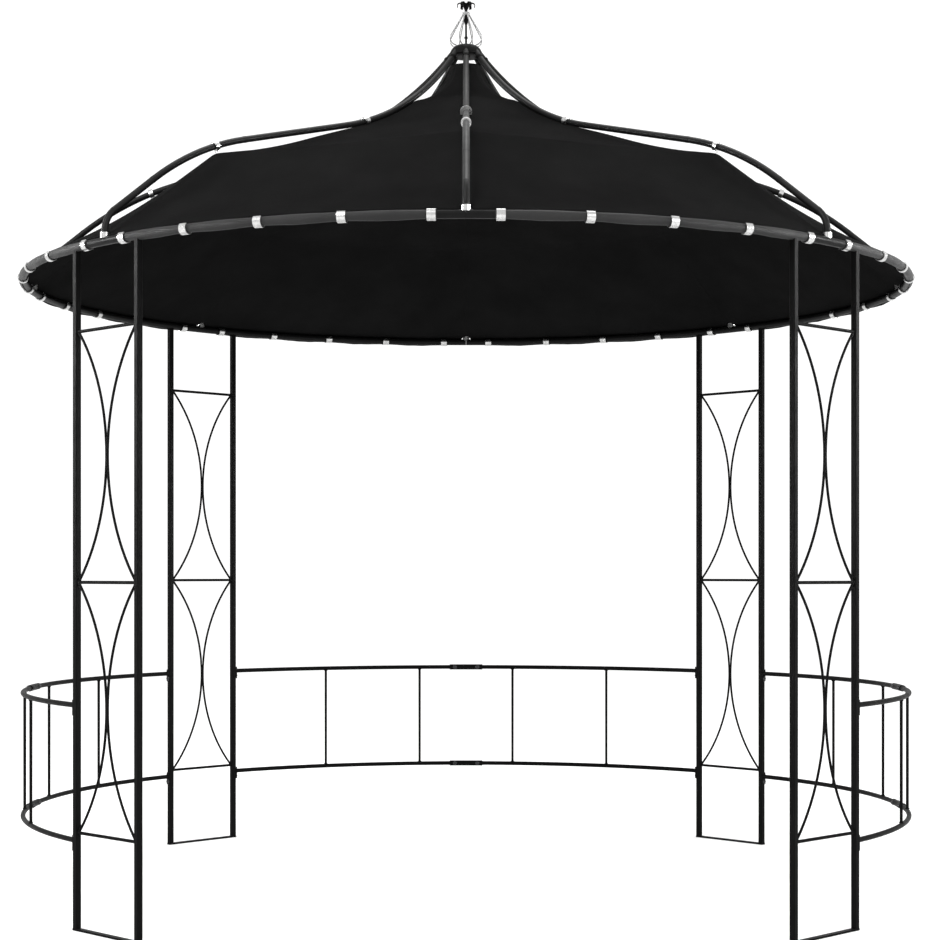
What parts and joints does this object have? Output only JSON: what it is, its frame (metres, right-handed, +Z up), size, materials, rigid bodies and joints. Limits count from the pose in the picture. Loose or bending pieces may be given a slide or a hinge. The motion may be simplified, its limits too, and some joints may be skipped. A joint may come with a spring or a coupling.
{
  "type": "garden gazebo",
  "caption": "Round free-standing garden gazebo: lattice columns, low curved balustrades, an open front, ogee roof ribs with a wire finial, and a dark fabric canopy clipped to the eave ring.",
  "frame": {"origin": "on the ground, midway between the columns and under the finial", "axes": "+Z up, -Y towards the open entrance, +X to the right of someone looking in through it"},
  "size_m": [2.9902, 2.9902, 3.0074],
  "materials": {
    "frame": "black powder coat, satin",
    "fittings": "bright plated steel",
    "canopy": "matt woven polyester",
    "hem": "folded hem of woven polyester"
  },
  "bodies": {
    "root": {"column_front_right": "frame", "column_back_right": "frame", "column_back_left": "frame", "column_front_left": "frame", "balustrade_right_a": "frame", "balustrade_right_b": "frame", "balustrade_back_a": "frame", "balustrade_back_b": "frame", "balustrade_left_a": "frame", "balustrade_left_b": "frame", "rail_sleeves_right": "frame", "rail_sleeves_back": "frame", "rail_sleeves_left": "frame", "ring_segment_1": "frame", "ring_segment_2": "frame", "ring_segment_3": "frame", "ring_segment_4": "frame", "ring_segment_5": "frame", "ring_segment_6": "frame", "ring_segment_7": "frame", "ring_segment_8": "frame", "rib_1": "frame", "rib_2": "frame", "rib_3": "frame", "rib_4": "frame", "rib_5": "frame", "rib_6": "frame", "rib_7": "frame", "rib_8": "frame", "hub": "frame", "finial_basket": "frame", "finial_spindle": "frame", "finial_crown": "frame", "canopy_gore_1": "canopy", "canopy_gore_2": "canopy", "canopy_gore_3": "canopy", "canopy_gore_4": "canopy", "canopy_gore_5": "canopy", "canopy_gore_6": "canopy", "canopy_gore_7": "canopy", "canopy_gore_8": "canopy", "crown_ties": "canopy", "canopy_hem": "hem", "rib_feet": "fittings", "hooks_high": "fittings", "hooks_low": "fittings", "eave_clips": "fittings"}
  },
  "joints": []
}
